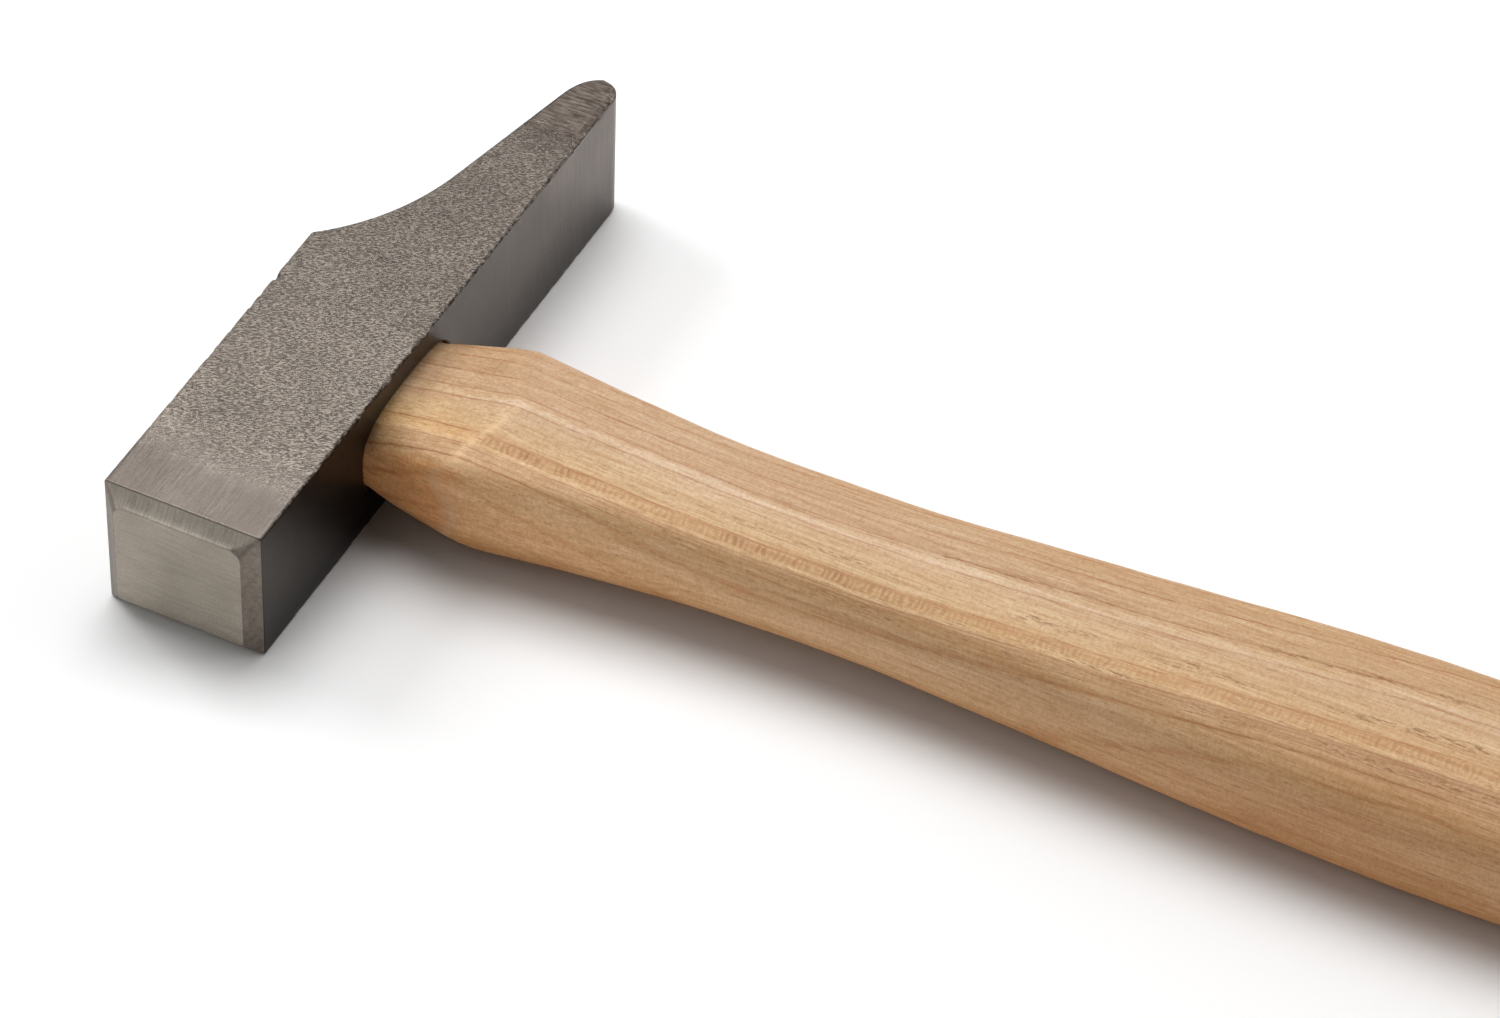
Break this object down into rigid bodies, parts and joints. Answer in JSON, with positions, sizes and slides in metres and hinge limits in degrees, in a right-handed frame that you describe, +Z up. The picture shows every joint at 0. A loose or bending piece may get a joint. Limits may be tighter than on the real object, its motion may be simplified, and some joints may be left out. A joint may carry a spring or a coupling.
{
  "type": "chipping hammer",
  "caption": "Forged cross-peen chipping hammer with a square face, a one-sided wedge peen and a wedged wooden handle.",
  "frame": {"origin": "on the lower cheek of the head, directly beneath the middle of the eye", "axes": "+X along the eye from the head to the butt of the handle, +Y along the head from the striking face to the peen, +Z up out of the upper cheek"},
  "size_m": [0.3005, 0.1104, 0.023],
  "materials": {
    "forged_steel": "forged and blasted steel with ground face, chamfers and peen tip",
    "handle_wood": "smooth sanded ash, thin oil",
    "wedge_wood": "sawn beech end grain",
    "wedge_steel": "bare mild steel"
  },
  "bodies": {
    "root": {"hammer_head": "forged_steel", "handle": "handle_wood", "wooden_wedge": "wedge_wood", "steel_wedge_face_side": "wedge_steel", "steel_wedge_peen_side": "wedge_steel"}
  },
  "joints": []
}
